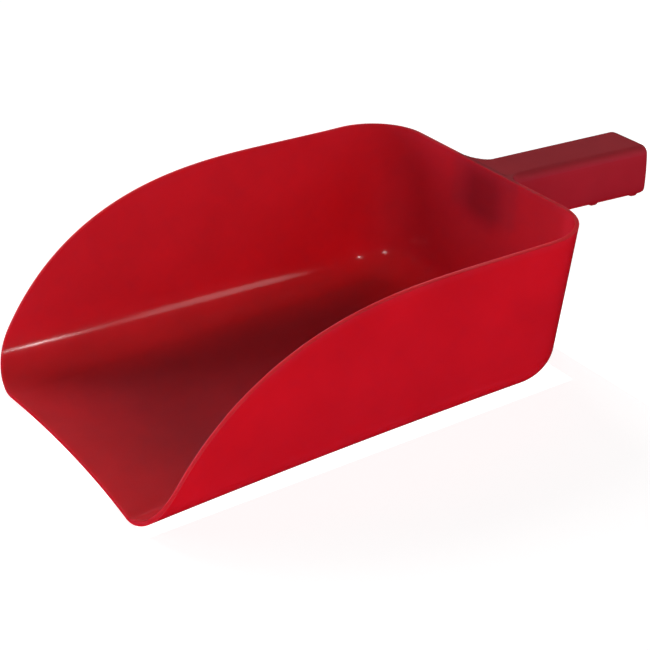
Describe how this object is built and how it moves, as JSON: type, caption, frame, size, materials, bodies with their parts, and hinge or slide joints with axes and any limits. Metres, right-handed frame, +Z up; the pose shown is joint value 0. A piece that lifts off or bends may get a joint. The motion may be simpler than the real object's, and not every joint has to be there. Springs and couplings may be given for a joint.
{
  "type": "feed scoop",
  "caption": "Open moulded feed scoop: flat floor, drafted side walls that sweep up from a wide front lip, upright back wall and a straight hollow handle.",
  "frame": {"origin": "on the ground, at the middle of the scoop's length and width", "axes": "+X from the front lip to the end of the handle, +Z up, symmetric about the plane y = 0"},
  "size_m": [0.3626, 0.194, 0.0905],
  "materials": {
    "scoop_plastic": "glossy, slightly translucent red polypropylene that glows at its thin edges"
  },
  "bodies": {
    "root": {"bowl_shell": "scoop_plastic", "handle_root_collar": "scoop_plastic", "handle_channel": "scoop_plastic", "handle_rib_1": "scoop_plastic", "handle_rib_2": "scoop_plastic", "handle_rib_3": "scoop_plastic"}
  },
  "joints": []
}
